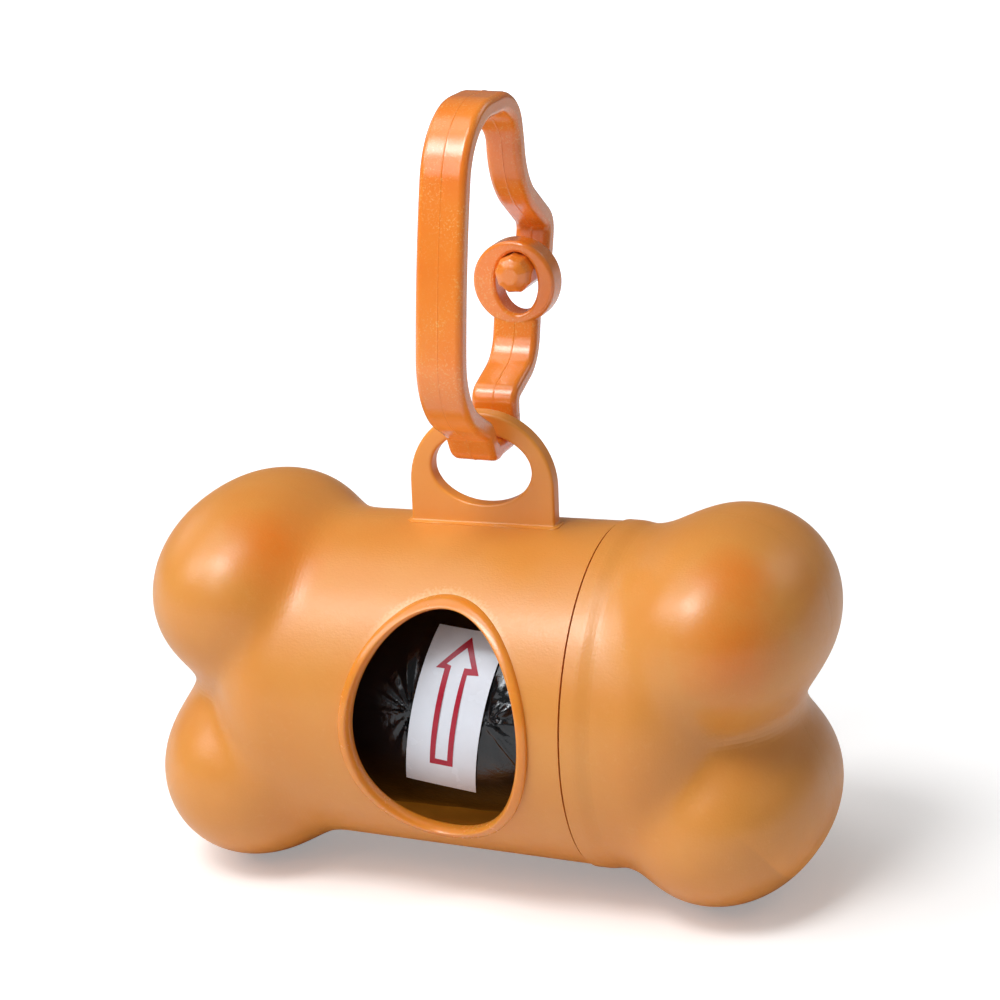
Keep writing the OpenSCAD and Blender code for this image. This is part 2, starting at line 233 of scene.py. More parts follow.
# plastic: index of refraction, highlight level bare and under a coat, coat, light under the skin
PLASTIC_IOR = 1.58
SHINE = 0.58
SHINE_COATED = 0.5
COAT_ROUGH = 0.24
UNDER_SKIN = (1.0, 0.32, 0.1)
UNDER_SKIN_SCALE = 0.0022
FILM_IOR = 1.6
FILM_BLACK = (0.003, 0.0031, 0.0035)
FILM_GREY = (0.009, 0.009, 0.01)
FILM_TINT = (0.9, 0.95, 1.0)
PAPER_WHITE = (0.83, 0.88, 0.97)
PAPER_GREY = (0.79, 0.84, 0.93)
PAPER_TINT = (0.8, 0.9, 1.0)
INK_RED = (0.5, 0.011, 0.036)
INK_DEEP = (0.4, 0.01, 0.03)
CARD = (0.36, 0.22, 0.12)
CARD_DEEP = (0.25, 0.15, 0.08)
DISC_WHITE = (0.8, 0.8, 0.81)
DISC_GREY = (0.74, 0.74, 0.76)
DISC_PALE = (0.86, 0.86, 0.86)
# painted light on the knobs, patches of deeper, richer orange beside the highlights that stand in
# for light scattered in the thin wall: centre in millimetres above the floor, radius, colour
BODY_LIT_THROUGH_SPOTS = [
    ((34.6, -16, AXIS + 12.0), 6.8, ORANGE_LIT_THROUGH),
    ((33.5, -12, AXIS + 20.5), 5, ORANGE_LIT_THROUGH),
    ((-22.4, -11.5, AXIS + 18.6), 6, ORANGE_LIT_THROUGH),
]

FLOOR_R = 1.6
FLOOR_DROP = 0.00005
FLOOR_GLOW = 0.3
WORLD_LEVEL = 0.14
LIGHT_AIM = (0, 0, 0.03)
# soft lights 1 m off: name, degrees round from the camera to the right, degrees up, size, power
LIGHTS = [
    ("key_box", -42, 58, (0.34, 0.34), 5.2),
    ("low_box", -40, 34, (0.24, 0.4), 0.9),
    ("side_box", -80, 42, (0.5, 0.5), 2.9),
    ("high_box", -40, 80, (0.4, 0.22), 1.3),
    ("right_rim", 120, 30, (0.36, 0.36), 0.5),
    ("left_back", -120, 62, (0.36, 0.36), 0.7),
    ("left_rim", -140, 24, (0.4, 0.36), 0.5),
    ("right_low", 72, 24, (0.36, 0.36), 0.1),
]


# ---------------------------------------------------------------- fields
def smin(a, b, k):
    """Smooth minimum whose curvature is continuous; k / 4 is taken off where a equals b."""
    h = np.clip(1 - np.abs(a - b) / (1.5 * k), 0, 1)
    return np.minimum(a, b) - k / 4 * h**3


def smax(a, b, k):
    """Smooth maximum, the same way."""
    return -smin(-a, -b, k)


def knob_field(p, cx, cz, radius):
    """Distance to one knob: round from the front, and fuller than an ellipse along Y."""
    dx, dy, dz = p[:, 0] - cx, np.abs(p[:, 1]), p[:, 2] - cz
    rr = np.sqrt(dx * dx + dz * dz) / radius
    yy = dy / KNOB_H
    m = np.maximum((rr**KNOB_P + yy**KNOB_P) ** (1 / KNOB_P), 1e-9)
    g = (rr ** (KNOB_P - 1) / radius) ** 2 + (yy ** (KNOB_P - 1) / KNOB_H) ** 2
    g = np.sqrt(np.maximum(g, 1e-12)) / m ** (KNOB_P - 1)
    return (m - 1) / g


def tube_field(p, radius):
    """Distance to the tube with its rounded ends."""
    rad = np.sqrt(p[:, 1] ** 2 + p[:, 2] ** 2)
    dx = np.abs(p[:, 0]) - (TUBE_HALF - TUBE_ROUND)
    dr = rad - (radius - TUBE_ROUND)
    out = np.sqrt(np.maximum(dx, 0) ** 2 + np.maximum(dr, 0) ** 2)
    return np.minimum(np.maximum(dx, dr), 0) + out - TUBE_ROUND


def bone_field(p, radius):
    """Distance to the whole bone, with a tube of the given radius."""
    ends = []
    for s in (-1, 1):
        up = knob_field(p, s * KNOB_X, KNOB_Z + KNOB_UP, KNOB_R + KNOB_UP)
        low = knob_field(p, s * KNOB_X, -KNOB_Z, KNOB_R)
        ends.append(smin(up, low, BLEND_KNOBS))
    return smin(tube_field(p, radius), np.minimum(ends[0], ends[1]), BLEND_TUBE)


def body_radius(x):
    """The body's tube grows slightly towards the seam."""
    return SEAM_R + TUBE_TAPER * (np.minimum(x, SEAM_X) - SEAM_X)


def body_field(p):
    return bone_field(p, body_radius(p[:, 0]))


def step(x, a, b):
    """Smooth rise from 0 at a to 1 at b."""
    t = np.clip((x - a) / (b - a), 0, 1)
    return t * t * (3 - 2 * t)


def cap_field(p):
    lip = (LIP_R - TUBE_R) * (1 - step(p[:, 0], LIP_END - 1.0, LIP_END + 1.3))
    return bone_field(p, TUBE_R + lip)


def gradient(field, p, e=0.02):
    """Outward unit normals of a field at the points p."""
    g = np.empty_like(p)
    for k in range(3):
        d = np.zeros(3)
        d[k] = e
        g[:, k] = field(p + d) - field(p - d)
    return g / np.maximum(np.linalg.norm(g, axis=1), 1e-9)[:, None]


# ---------------------------------------------------------------- meshing
def sample(field, lo, hi, step_mm):
    """A field's values on a grid from lo to hi, and the grid's first corner."""
    axes = [np.arange(a, b + step_mm, step_mm) for a, b in zip(lo, hi)]
    grid = np.stack(np.meshgrid(*axes, indexing="ij"), -1)
    flat = grid.reshape(-1, 3)
    out = np.empty(len(flat))
    for i in range(0, len(flat), 400000):
        out[i : i + 400000] = field(flat[i : i + 400000])
    return out.reshape(grid.shape[:3]), np.array([a[0] for a in axes])


def surface_nets(f, origin, step_mm):
    """Vertices and quads of a sampled field's zero level, one vertex to a crossed cell."""
    inside = f < 0
    n = tuple(s - 1 for s in f.shape)
    total = np.zeros(n + (3,))
    count = np.zeros(n)
    offs = (0, 1)
    for axis in range(3):
        a = [slice(None)] * 3
        b = [slice(None)] * 3
        a[axis], b[axis] = slice(0, -1), slice(1, None)
        fa, fb = f[tuple(a)], f[tuple(b)]
        cross = inside[tuple(a)] != inside[tuple(b)]
        t = np.where(cross, fa / np.where(cross, fa - fb, 1), 0)
        o1, o2 = [k for k in range(3) if k != axis]
        for i in offs:
            for j in offs:
                s = [slice(None)] * 3
                s[o1] = slice(i, i + n[o1])
                s[o2] = slice(j, j + n[o2])
                c = cross[tuple(s)]
                count += c
                total[..., axis] += np.where(c, t[tuple(s)], 0)
                total[..., o1] += c * i
                total[..., o2] += c * j
    used = count > 0
    index = np.full(n, -1)
    index[used] = np.arange(used.sum())
    cells = np.argwhere(used)
    verts = origin + (cells + total[used] / count[used][:, None]) * step_mm
    quads = []
    for axis in range(3):
        o1, o2 = (axis + 1) % 3, (axis + 2) % 3
        a = [slice(None)] * 3
        b = [slice(None)] * 3
        a[axis], b[axis] = slice(0, -1), slice(1, None)
        cross = inside[tuple(a)] != inside[tuple(b)]
        at = np.argwhere(cross)
        ok = (at[:, o1] > 0) & (at[:, o2] > 0) & (at[:, o1] < n[o1]) & (at[:, o2] < n[o2])
        at = at[ok]
        ring = []
        for i, j in ((-1, -1), (0, -1), (0, 0), (-1, 0)):
            c = at.copy()
            c[:, o1] += i
            c[:, o2] += j
            ring.append(index[tuple(c.T)])
        q = np.stack(ring, 1)
        flip = ~inside[tuple(at.T)]
        q[flip] = q[flip][:, ::-1]
        quads.append(q)
    return verts, np.concatenate(quads)


def level_mesh(field, lo, hi, step_mm):
    """Closed mesh of a field's zero level, with its vertices moved on to the level."""
    f, origin = sample(field, lo, hi, step_mm)
    v, q = surface_nets(f, origin, step_mm)
    for _ in range(3):
        v = v - field(v)[:, None] * gradient(field, v)
    return v, q


def to_mesh(name, verts, faces):
    """A Blender mesh in metres from millimetre vertices measured from the bone's axis."""
    me = bpy.data.meshes.new(name)
    v = np.asarray(verts, float) + (0, 0, AXIS)
    me.from_pydata((v * MM).tolist(), [], [tuple(int(i) for i in f) for f in faces])
    me.update()
    return me


def to_object(name, data):
    ob = bpy.data.objects.new(name, data)
    bpy.context.scene.collection.objects.link(ob)
    return ob


def cut_lines(me, planes):
    """Adds an edge loop where each plane (point, normal), in millimetres from the axis, cuts."""
    bm = bmesh.new()
    bm.from_mesh(me)
    for co, no in planes:
        at = Vector(co) + Vector((0, 0, AXIS))
        bmesh.ops.bisect_plane(
            bm, geom=bm.verts[:] + bm.edges[:] + bm.faces[:], plane_co=at * MM, plane_no=no, dist=1e-8
        )
    bm.to_mesh(me)
    bm.free()


def coords(me):
    co = np.empty(len(me.vertices) * 3)
    me.vertices.foreach_get("co", co)
    return co.reshape(-1, 3) / MM - (0, 0, AXIS)


def set_coords(me, v):
    me.vertices.foreach_set("co", ((v + (0, 0, AXIS)) * MM).ravel())
    me.update()


def boolean(ob, other, kind):
    mod = ob.modifiers.new("cut", "BOOLEAN")
    mod.object = other
    mod.operation = kind
    mod.solver = "MANIFOLD"
    bake(ob)


def bake(ob):
    """Applies the object's modifiers to its mesh."""
    dg = bpy.context.evaluated_depsgraph_get()
    dg.update()
    me = bpy.data.meshes.new_from_object(ob.evaluated_get(dg))
    ob.modifiers.clear()
    old = ob.data
    ob.data = me
    bpy.data.meshes.remove(old)


def block(name, lo, hi):
    (x0, y0, z0), (x1, y1, z1) = lo, hi
    v = [(x, y, z) for x in (x0, x1) for y in (y0, y1) for z in (z0, z1)]
    f = [(0, 1, 3, 2), (4, 6, 7, 5), (0, 4, 5, 1), (2, 3, 7, 6), (0, 2, 6, 4), (1, 5, 7, 3)]
    return to_object(name, to_mesh(name, v, f))


def drop(ob):
    me = ob.data
    bpy.data.objects.remove(ob)
    bpy.data.meshes.remove(me)


def shade_from(ob, layers):
    """Smooth normals from fields: layers are (field, offset, sign). Other faces stay flat."""
    me = ob.data
    v = coords(me)
    me.polygons.foreach_set("use_smooth", [True] * len(me.polygons))
    nl = len(me.loops)
    vi = np.empty(nl, np.int32)
    me.loops.foreach_get("vertex_index", vi)
    fn = np.empty(len(me.polygons) * 3)
    me.polygons.foreach_get("normal", fn)
    fn = fn.reshape(-1, 3)
    tot = np.empty(len(me.polygons), np.int32)
    me.polygons.foreach_get("loop_total", tot)
    ln = np.repeat(fn, tot, axis=0)
    out = ln.copy()
    for field, offset, sign in layers:
        d = field(v) - offset
        near = np.abs(d) < 0.06
        g = np.zeros_like(v)
        g[near] = gradient(field, v[near]) * sign
        lg = g[vi]
        good = near[vi] & ((lg * ln).sum(1) > 0.93)
        out[good] = lg[good]
    me.normals_split_custom_set(out.tolist())


# ---------------------------------------------------------------- bone shells
def edge_inset(x, edge, away):
    """How far a rounded edge at x = edge stands in; the round spreads to the given side."""
    t = np.clip((edge - x) * away / EDGE_ROUND + 1, 0, 1)
    return EDGE_ROUND * (1 - np.sqrt(np.maximum(1 - t * t, 0)))


def shell_solid(name, field, edge, away):
    """Outer closed mesh of one half of the bone, with its parting groove and rounded edge."""
    v, q = level_mesh(field, BONE_LO, BONE_HI, GRID)
    me = to_mesh(name, v, q)
    planes = [((0, y, 0), (0, 1, 0)) for y in (-GROOVE_HALF, 0, GROOVE_HALF)]
    planes += [((edge - away * EDGE_ROUND * t, 0, 0), (1, 0, 0)) for t in EDGE_CUTS]
    cut_lines(me, planes)
    v = coords(me)
    g = gradient(field, v)
    groove = GROOVE_DEPTH * (np.abs(v[:, 1]) < 1e-3)
    inset = edge_inset(v[:, 0], edge, away)
    inset = np.where((v[:, 0] - edge) * away > 0, EDGE_ROUND, inset)
    v -= g * np.maximum(groove, inset)[:, None]
    set_coords(me, v)
    return to_object(name, me)


def inner_solid(name, field):
    """The hollow: the same form, WALL smaller all round."""
    v, q = level_mesh(lambda p: field(p) + WALL, BONE_LO, BONE_HI, GRID * 1.5)
    return to_object(name, to_mesh(name, v, q))


def oval_point(t, out):
    """x and z at angle t on the opening's slightly egg-shaped edge, moved outwards by out."""
    def at(q):
        u = OPEN_A * math.cos(q) * (1 + OPEN_EGG * math.sin(q))
        v = OPEN_B * math.sin(q)
        c, d = math.cos(OPEN_TURN), math.sin(OPEN_TURN)
        return OPEN_X + u * c - v * d, OPEN_Z + u * d + v * c

    x, z = at(t)
    (x0, z0), (x1, z1) = at(t - 0.01), at(t + 0.01)
    ln = math.hypot(x1 - x0, z1 - z0)
    return x + out * (z1 - z0) / ln, z - out * (x1 - x0) / ln


def oval_prism(name, out, y0, y1, count=OPEN_STEPS):
    """Straight plug of the opening's shape, moved outwards by out."""
    ring = [oval_point(2 * math.pi * i / count, out) for i in range(count)]
    ring = np.array([(x, 0, z) for x, z in ring])
    v = np.concatenate([ring + (0, y0, 0), ring + (0, y1, 0)])
    faces = [tuple(range(count)), tuple(range(2 * count - 1, count - 1, -1))]
    for i in range(count):
        j = (i + 1) % count
        faces.append((i, i + count, j + count, j))
    return to_object(name, to_mesh(name, v, faces))


def rim_mesh():
    """Raised rim of the opening: one profile carried round the oval on the tube's surface."""
    count = RIM_STEPS
    verts = []
    for i in range(count):
        t = 2 * math.pi * i / count
        for s, h in RIM_SECTION:
            x, z = oval_point(t, s)
            r = SEAM_R + TUBE_TAPER * (x - SEAM_X) + h
            verts.append((x, -math.sqrt(max(r * r - z * z, 1)), z))
    m = len(RIM_SECTION)
    faces = []
    for i in range(count):
        j = (i + 1) % count
        for k in range(m):
            n = (k + 1) % m
            faces.append((i * m + k, j * m + k, j * m + n, i * m + n))
    return verts, faces


def smooth_by_angle(me, degrees):
    me.polygons.foreach_set("use_smooth", [True] * len(me.polygons))
    me.set_sharp_from_angle(angle=math.radians(degrees))
    me.update()


def fix_normals(me):
    bm = bmesh.new()
    bm.from_mesh(me)
    bmesh.ops.recalc_face_normals(bm, faces=bm.faces)
    bm.to_mesh(me)
    bm.free()


def build_bone():
    """The four shells of body and cap, replacing their CAD nodes."""
    made = {}
    for part, field, edge, away in (
        ("body", body_field, SEAM_X, 1),
        ("cap", cap_field, SEAM_X + SEAM_GAP, -1),
    ):
        outer = shell_solid(part + "_outer", field, edge, away)
        inner = inner_solid(part + "_inner", field)
        for side, y0, y1 in (("front", -FAR, -SPLIT_HALF), ("rear", SPLIT_HALF, FAR)):
            x0, x1 = (-FAR, edge) if away > 0 else (edge, FAR)
            keep = block("keep", (x0, y0, -AXIS), (x1, y1, FAR))
            name = f"{part}_{side}"
            ob = to_object(name, outer.data.copy())
            boolean(ob, keep, "INTERSECT")
            boolean(ob, inner, "DIFFERENCE")
            drop(keep)
            if name == "body_front":
                hole = oval_prism("hole", OPEN_UNDER_RIM, -40, -8)
                boolean(ob, hole, "DIFFERENCE")
                drop(hole)
            shade_from(ob, [(field, 0, 1), (field, -WALL, -1)])
            made[name] = ob
        drop(outer)
        drop(inner)
    v, f = rim_mesh()
    rim = to_object("rim", to_mesh("rim", v, f))
    fix_normals(rim.data)
    smooth_by_angle(rim.data, 50)
    made["rim"] = rim
    return made


# ---------------------------------------------------------------- tab
def tab_field(p):
    """Flat tab with a round top, an oval hole, rounded edges and a fillet on to the tube."""
    x, y, z = p[:, 0] - TAB_X, p[:, 1], p[:, 2]
    top = np.hypot(x, np.maximum(z - TAB_TOP, 0)) - TAB_R
    a, b = HOLE_A, HOLE_B
    m = np.sqrt((x / a) ** 2 + ((z - HOLE_Z) / b) ** 2) + 1e-9
    g = np.sqrt((x / a**2) ** 2 + ((z - HOLE_Z) / b**2) ** 2) / m + 1e-9
    hole = -(m - 1) / g
    flat = smax(top, hole, 0.1)
    e = TAB_EDGE
    dx, dy = flat + e, np.abs(y) - TAB_T / 2 + e
    slab = np.minimum(np.maximum(dx, dy), 0) + np.hypot(np.maximum(dx, 0), np.maximum(dy, 0)) - e
    skin = body_field(p) + TAB_SINK
    body = smin(slab, skin, TAB_FILLET)
    return np.maximum(np.maximum(body, -(skin + TAB_ROOT)), slab - TAB_FLARE)


def build_tab():
    lo = (TAB_X - TAB_R - 1.2, -2.6, TAB_FOOT)
    hi = (TAB_X + TAB_R + 1.2, 2.6, TAB_TOP + TAB_R + 0.8)
    v, q = level_mesh(tab_field, lo, hi, TAB_GRID)
    ob = to_object("tab", to_mesh("tab", v, q))
    smooth_by_angle(ob.data, 40)
    return ob


# ---------------------------------------------------------------- clip
def walk(start, heading, steps, piece=0.35):
    """Points and headings of a turtle path of [turn radius or 0, angle or length] steps."""
    y, z = start
    h = math.radians(heading)
    out = [(y, z, h)]
    for r, amount in steps:
        length = amount if r == 0 else abs(r) * math.radians(amount)
        n = max(1, int(math.ceil(length / piece)))
        for _ in range(n):
            if r == 0:
                y += amount / n * math.cos(h)
                z += amount / n * math.sin(h)
            else:
                d = math.copysign(math.radians(amount), r) / n
                y += r * (math.sin(h + d) - math.sin(h))
                z -= r * (math.cos(h + d) - math.cos(h))
                h += d
            out.append((y, z, h))
    return out


def corners():
    """Side signs and direction of every point round a rounded rectangle, one corner at a time."""
    for sx, st, first in ((1, 1, 0), (-1, 1, 90), (-1, -1, 180), (1, -1, 270)):
        angles = [math.radians(first + k * 90 / CORNER_STEPS) for k in range(CORNER_STEPS + 1)]
        yield sx, st, [(math.cos(a), math.sin(a)) for a in angles]


def band_section(half_w, half_t, r, bead):
    """Rounded rectangle section with a fine parting bead down the middle of each broad face.

    Each row is x, thickness direction, and the surface normal in the same two directions."""
    pts = []
    for sx, st, turns in corners():
        pts += [(sx * (half_w - r) + r * c, st * (half_t - r) + r * d, c, d) for c, d in turns]
        if st * sx > 0:
            t, top = half_t * st, (half_t + bead) * st
            pts += [(sx * 0.13, t, 0, st), (sx * 0.04, top, sx * 0.5, st * 0.87),
                    (-sx * 0.04, top, -sx * 0.5, st * 0.87), (-sx * 0.13, t, 0, st)]
    return pts


def sweep_band(path, shape, round_r, bead=0.05):
    """Band carried along (y, z, heading) points; shape gives width, thickness and side shift."""
    verts, faces, normals = [], [], []
    n = len(path)
    for y, z, h in path:
        w, t, dx = shape(y, z)
        sec = band_section(w / 2, t / 2, min(round_r, t * 0.42), bead)
        for sx, st, nx, nt in sec:
            verts.append((CLIP_X + dx + sx, y - st * math.sin(h), z + st * math.cos(h)))
            normals.append((nx, -nt * math.sin(h), nt * math.cos(h)))
    m = len(sec)
    for i in range(n - 1):
        for k in range(m):
            j = (k + 1) % m
            faces.append((i * m + k, i * m + j, (i + 1) * m + j, (i + 1) * m + k))
    faces.append(tuple(range(m)))
    faces.append(tuple(range((n - 1) * m, n * m)))
    return verts, faces, normals


def peg_mesh(y0, y1, z, r, count=9):
    """Peg along Y whose moulded end has flat facets."""
    prof = [(y1, r)] + [(y0 + gap, r * part) for gap, part in PEG_END]
    turn = math.radians(14)
    verts = [(CLIP_X + RING_SHIFT + q * math.cos(t + turn), y, z + q * math.sin(t + turn))
             for y, q in prof for t in np.arange(count) * 2 * math.pi / count]
    faces = []
    for i in range(len(prof) - 1):
        for k in range(count):
            j = (k + 1) % count
            faces.append((i * count + k, i * count + j, (i + 1) * count + j, (i + 1) * count + k))
    faces.append(tuple(range(count)))
    faces.append(tuple(range((len(prof) - 1) * count, len(prof) * count)))
    return verts, faces, None


def ring_mesh(y, z, inner, outer, depth, r, count=120):
    """Flat ring round Y with rounded edges, an oval hole and a round outside."""
    verts, faces, normals = [], [], []
    sec = [(sx, r * c, st * (depth / 2 - r) + r * d, c, d) for sx, st, turns in corners()
           for c, d in turns]
    m = len(sec)
    for i in range(count):
        t = 2 * math.pi * i / count
        ci, si = math.cos(t), math.sin(t)
        near = np.array([RING_SHIFT + inner[0] * ci, inner[1] * si])
        d = np.array([outer * ci, outer * si]) - near
        full = np.linalg.norm(d)
        d /= full
        for sx, c, dy, nr, ny in sec:
            q = near + d * (full / 2 + sx * (full / 2 - r) + c)
            verts.append((CLIP_X + q[0], y + dy, z + q[1]))
            normals.append((d[0] * nr, ny, d[1] * nr))
    for i in range(count):
        j = (i + 1) % count
        for k in range(m):
            n = (k + 1) % m
            faces.append((i * m + k, i * m + n, j * m + n, j * m + k))
    return verts, faces, normals


def merged(name, parts):
    """One object of several overlapping closed forms, shaded with their own surface normals."""
    verts, faces, normals = [], [], []
    for v, f, n in parts:
        base = len(verts)
        verts += list(v)
        faces += [tuple(i + base for i in q) for q in f]
        normals += list(n) if n else [(0, 0, 0)] * len(v)
    ob = to_object(name, to_mesh(name, verts, faces))
    fix_normals(ob.data)
    me = ob.data
    me.polygons.foreach_set("use_smooth", [True] * len(me.polygons))
    known = np.array(normals, float)
    out = []
    for p in me.polygons:
        flat = np.array(p.normal)
        for i in p.vertices:
            n = known[i]
            out.append(tuple(n / np.linalg.norm(n)) if n @ flat > 0.6 else tuple(flat))
    me.normals_split_custom_set(out)
    return ob


def build_clip():
    """The clip's loop, and its gate as one band that bends at its root."""
    root = walk(GATE_ROOT, GATE_HEADING + 180, ROOT_STEPS)
    leg = walk(root[-1][:2], 180, LEG_STEPS)
    arm = walk(leg[-1][:2], math.degrees(leg[-1][2]), ARM_STEPS)
    split = next(i for i, q in enumerate(root) if q[1] < GATE_SPLIT_Z)

    def loop_shape(y, z):
        if z < ROOT_TOP_Z:
            return CLIP_W, GATE_T + (CLIP_T - GATE_T) * float(step(np.array(-y), 1, 2)), 0
        if y < 0:
            return CLIP_W, CLIP_T, 0
        k = float(step(np.array(z), ARM_TAPER_Z, ARM_TOP_Z))
        return ARM_W + (CLIP_W - ARM_W) * k, CLIP_T, ARM_SHIFT * (1 - k)

    path = root[split:] + leg[1:] + arm[1:]
    clip = merged("clip_loop", [sweep_band(path, loop_shape, BAND_ROUND)])
    arm_y, arm_z, _ = arm[-1]
    peg = merged("clip_peg", [peg_mesh(PEG_TIP_Y, arm_y + 1.0, arm_z, PEG_R)])
    soften(peg, PEG_BEVEL)
    back = [(y, z, h + math.pi) for y, z, h in reversed(root[: split + 1])]
    gate_path = back[:-1] + walk(GATE_ROOT, GATE_HEADING, GATE_STEPS)
    gate = merged("clip_spring_gate", [
        sweep_band(gate_path, lambda y, z: (GATE_W, GATE_T, 0), GATE_ROUND),
        ring_mesh(RING_Y, RING_Z, RING_HOLE, RING_R, RING_T, RING_ROUND),
    ])
    return clip, peg, gate


def soften(ob, width):
    """Small bevel on every edge, baked into the mesh."""
    mod = ob.modifiers.new("edge", "BEVEL")
    mod.width = width * MM
    mod.segments = 2
    mod.limit_method = "ANGLE"
    mod.angle_limit = math.radians(12)
    bake(ob)
    smooth_by_angle(ob.data, 10)


# ---------------------------------------------------------------- roll
def ridged(t):
    """Triangle wave between -1 and 1, for sharp folds."""
    return 2 / math.pi * np.arcsin(np.sin(t))


def crease(x, a, cx, ca, seed, rays, reach):
    """Height of sharp creases in the film that fan out from one point."""
    dx, da = x - cx, a - ca
    rad = np.hypot(dx, da)
    phi = np.arctan2(da, dx)
    w = ridged(rays * phi + 1.6 * np.sin(3 * phi + seed) + 0.12 * rad)
    w += 0.7 * ridged((rays * 2 - 5) * phi + seed * 1.7 - 0.2 * rad + np.sin(2 * phi))
    w *= 0.55 + 0.45 * np.sin(4 * phi + seed * 2.3)
    return w * np.exp(-rad / reach) * step(rad, 0.1, 1.6)


def fold(x, a, x0, a0, x1, a1, width):
    """One straight fold between two points, 1 along its ridge."""
    dx, da = x1 - x0, a1 - a0
    t = np.clip(((x - x0) * dx + (a - a0) * da) / (dx * dx + da * da), 0, 1)
    gap = np.hypot(x - x0 - t * dx, a - a0 - t * da)
    return np.clip(1 - gap / width, 0, 1)


def film_height(x, a):
    """Unevenness of the wound film at x along the roll and arc length a down its front.

    A crumpled flap stands up to the right of the label, and a slow ripple runs over the rest."""
    h = sum(height * crease(x, a, *row) for height, *row in CREASES)
    flap = step(x, 3.5, 5.0) * (1 - step(x, 9, 13)) * step(a, -9.5, -1.9) * (1 - step(a, -1.8, -1.5))
    pleat = ridged(2.1 * x + 1.3 * a + 1.1 * np.sin(0.9 * x) + 0.8 * np.sin(1.3 * a))
    pleat += 0.6 * ridged(1.2 * x - 2.4 * a + 1.4 * np.sin(0.8 * a + x))
    h += flap * (FLAP_HEIGHT + PLEAT_HEIGHT * pleat)
    h += sum(height * fold(x, a, *row) for height, *row in FOLDS)
    ripple = np.sin(1.15 * x + 0.9 * np.sin(0.6 * a) + 0.35 * a)
    return h + RIPPLE_HEIGHT * ripple * np.sin(0.31 * a + 0.8 * np.sin(0.21 * x))


def film_room(x, a):
    """Greatest height of the film at x and arc length a: it stays under the label.

    It also stays lower towards the neck, so that the roll turns freely."""
    up = -np.degrees(a / ROLL_R)
    low, high = LABEL_SPAN
    left, right = (x0 + (up - up0) * lean for (x0, up0), lean in zip(LABEL_CORNERS, LABEL_LEAN))
    gap = np.maximum(np.maximum(left - x, x - right), np.maximum(up - high, low - up) * 0.25)
    return FILM_LOW + FILM_RISE * step(gap, 0.1, 1.3) * (1 - NECK_FALL * step(x, *NECK_SIDE))


def roll_end(verts, faces, last, end, base):
    """Ringed end of the roll, from the last ring of vertices in to the core."""
    na = ROLL_TURN
    for g in range(END_RINGS):
        u = (g + 1) / END_RINGS
        rr = base + (CORE_R + 0.02 - base) * u
        x = end * (ROLL_L / 2 - 0.08 - 0.17 * ((g * 7) % 5) / 4)
        if g == END_RINGS - 1:
            x = end * (ROLL_L / 2 - 0.3)
        start = len(verts)
        for k in range(na):
            t = k * 2 * math.pi / na
            r = rr * (1 + 0.004 * math.sin(3 * t + g))
            verts.append((x, ROLL_Y + r * math.cos(t), ROLL_Z + r * math.sin(t)))
        now = [start + k for k in range(na)]
        for k in range(na):
            j = (k + 1) % na
            faces.append((last[k], last[j], now[j], now[k]))
        last = now


def build_roll():
    """Wound film with creases, ringed ends and a loose outer edge."""
    na, nx = ROLL_TURN, ROLL_ALONG
    xs = np.linspace(-ROLL_L / 2 + 0.25, ROLL_L / 2 - 0.25, nx)
    base = ROLL_R - FILM_UNDER
    verts, faces = [], []
    ang = np.arange(na) * 2 * math.pi / na
    for x in xs:
        arc = (ang - math.pi) * base
        h = film_height(np.full(na, x), arc)
        seam = FILM_EDGE_LIFT * np.clip(1 - np.abs(ang - FILM_EDGE_TURN) / 0.02, 0, 1)
        r = base + np.clip(h, -0.5, film_room(x, arc)) + seam
        for rr, t in zip(r, ang):
            verts.append((x, ROLL_Y + rr * math.cos(t), ROLL_Z + rr * math.sin(t)))
    for i in range(nx - 1):
        for k in range(na):
            j = (k + 1) % na
            faces.append((i * na + k, i * na + j, (i + 1) * na + j, (i + 1) * na + k))
    for end, first in ((-1, 0), (1, (nx - 1) * na)):
        roll_end(verts, faces, [first + k for k in range(na)], end, base)
    ob = to_object("film_roll", to_mesh("film_roll", verts, faces))
    fix_normals(ob.data)
    smooth_by_angle(ob.data, 40)
    return ob


def on_roll(x, ang, lift):
    """Point above the film at x along the roll and an angle above the front, in degrees."""
    t = math.radians(ang)
    r = ROLL_R - LABEL_UNDER + lift
    return (x, ROLL_Y - r * math.cos(t), ROLL_Z + r * math.sin(t))


def label_point(u, v):
    """x and angle of a point on the label, u across it and v up it, both from 0 to 1."""
    a, b, c, d = (np.array(q) for q in LABEL_CORNERS)
    return tuple((a + (b - a) * u) * (1 - v) + (c + (d - c) * u) * v)


